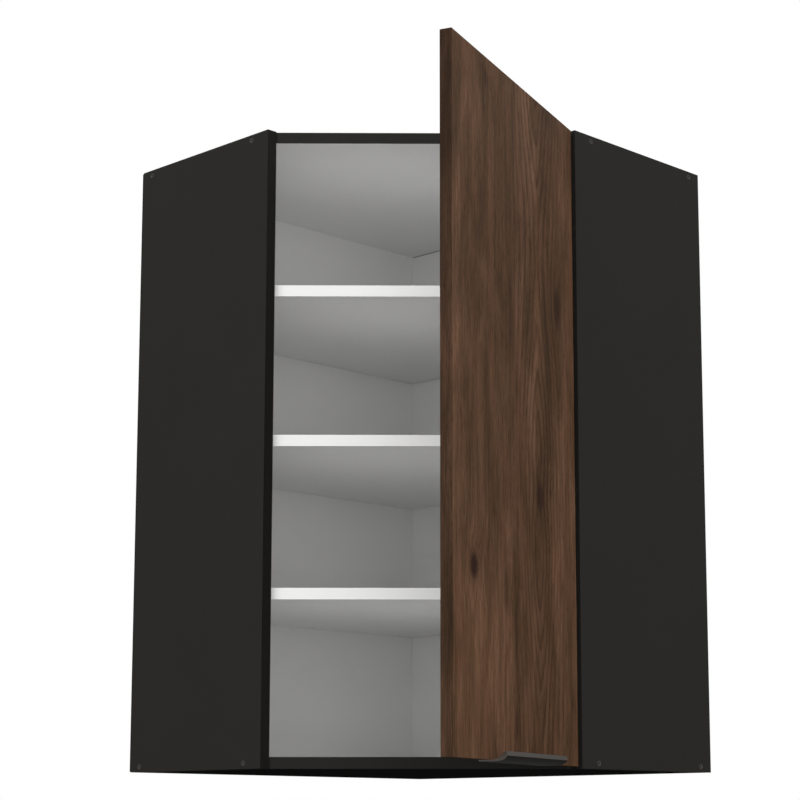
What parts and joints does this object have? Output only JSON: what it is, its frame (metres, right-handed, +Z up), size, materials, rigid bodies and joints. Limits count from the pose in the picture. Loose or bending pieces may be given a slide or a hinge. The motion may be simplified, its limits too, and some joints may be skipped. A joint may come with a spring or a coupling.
{
  "type": "corner wall cabinet",
  "caption": "Diagonal corner wall cabinet with a hinged wood-look door, loose shelves, a metal edge pull, concealed hinges and hanging brackets.",
  "frame": {"origin": "the corner where the two walls meet, at the level of the underside", "axes": "+Z up, -Y out of the front, +X to the right; the walls run at 45 degrees between -X and -Y and between +X and -Y"},
  "size_m": [0.8421, 1.0058, 0.9],
  "materials": {
    "carcass_board": "matte dark graphite melamine outside, white inside",
    "white_board": "matte white melamine",
    "hardboard": "white lacquer inside, bare brown fibre on the wall side",
    "door_wood": "satin dark walnut with upright grain",
    "handle_metal": "brushed graphite anodised",
    "nickel": "nickel plated",
    "zinc": "zinc plated",
    "white_plastic": "moulded white"
  },
  "bodies": {
    "carcass": {"side_panel_left": "carcass_board", "side_panel_right": "carcass_board", "top_panel": "carcass_board", "bottom_panel": "carcass_board", "back_panel_right": "white_board", "back_panel_left": "hardboard", "shelf_1_pin_left_rear": "nickel", "shelf_1_pin_left_front": "nickel", "shelf_1_pin_right_front": "nickel", "shelf_1_pin_back": "nickel", "shelf_2_pin_left_rear": "nickel", "shelf_2_pin_left_front": "nickel", "shelf_2_pin_right_front": "nickel", "shelf_2_pin_back": "nickel", "shelf_3_pin_left_rear": "nickel", "shelf_3_pin_left_front": "nickel", "shelf_3_pin_right_front": "nickel", "shelf_3_pin_back": "nickel", "hinge_arm_lower": "nickel", "hinge_plate_lower": "nickel", "hinge_arm_upper": "nickel", "hinge_plate_upper": "nickel", "confirmat_left_bottom_rear": "zinc", "confirmat_left_bottom_front": "zinc", "confirmat_left_top_rear": "zinc", "confirmat_left_top_front": "zinc", "confirmat_right_bottom_rear": "zinc", "confirmat_right_bottom_front": "zinc", "confirmat_right_top_rear": "zinc", "confirmat_right_top_front": "zinc", "hinge_plate_screw_lower_low": "zinc", "hinge_plate_screw_lower_high": "zinc", "hinge_plate_screw_upper_low": "zinc", "hinge_plate_screw_upper_high": "zinc", "hinge_arm_screw_lower": "zinc", "hinge_arm_screw_upper": "zinc", "hanger_screw_left_low": "zinc", "hanger_screw_left_high": "zinc", "hanger_screw_right_low": "zinc", "hanger_screw_right_high": "zinc", "hanger_left": "white_plastic", "hanger_hook_left": "zinc", "hanger_right": "white_plastic", "hanger_hook_right": "zinc"},
    "door": {"door": "door_wood", "handle": "handle_metal", "handle_screw_left": "zinc", "handle_screw_right": "zinc", "hinge_cup_screw_lower_low": "zinc", "hinge_cup_screw_lower_high": "zinc", "hinge_cup_screw_upper_low": "zinc", "hinge_cup_screw_upper_high": "zinc", "hinge_cup_lower": "nickel", "hinge_cup_upper": "nickel", "hinge_pin_lower": "zinc", "hinge_pin_upper": "zinc"},
    "shelf_1": {"shelf_1": "white_board"},
    "shelf_2": {"shelf_2": "white_board"},
    "shelf_3": {"shelf_3": "white_board"}
  },
  "joints": [
    {"name": "door_hinge", "type": "hinge", "parent": "carcass", "child": "door", "pos_m": [0.20099, -0.63008, 0.45], "axis": [0, 0, 1], "range_deg": [-65, 30]},
    {"name": "shelf_1_lift", "type": "slide", "parent": "carcass", "child": "shelf_1", "axis": [0, 0, 1], "range_m": [0, 0.03]},
    {"name": "shelf_2_lift", "type": "slide", "parent": "carcass", "child": "shelf_2", "axis": [0, 0, 1], "range_m": [0, 0.03]},
    {"name": "shelf_3_lift", "type": "slide", "parent": "carcass", "child": "shelf_3", "axis": [0, 0, 1], "range_m": [0, 0.03]}
  ]
}
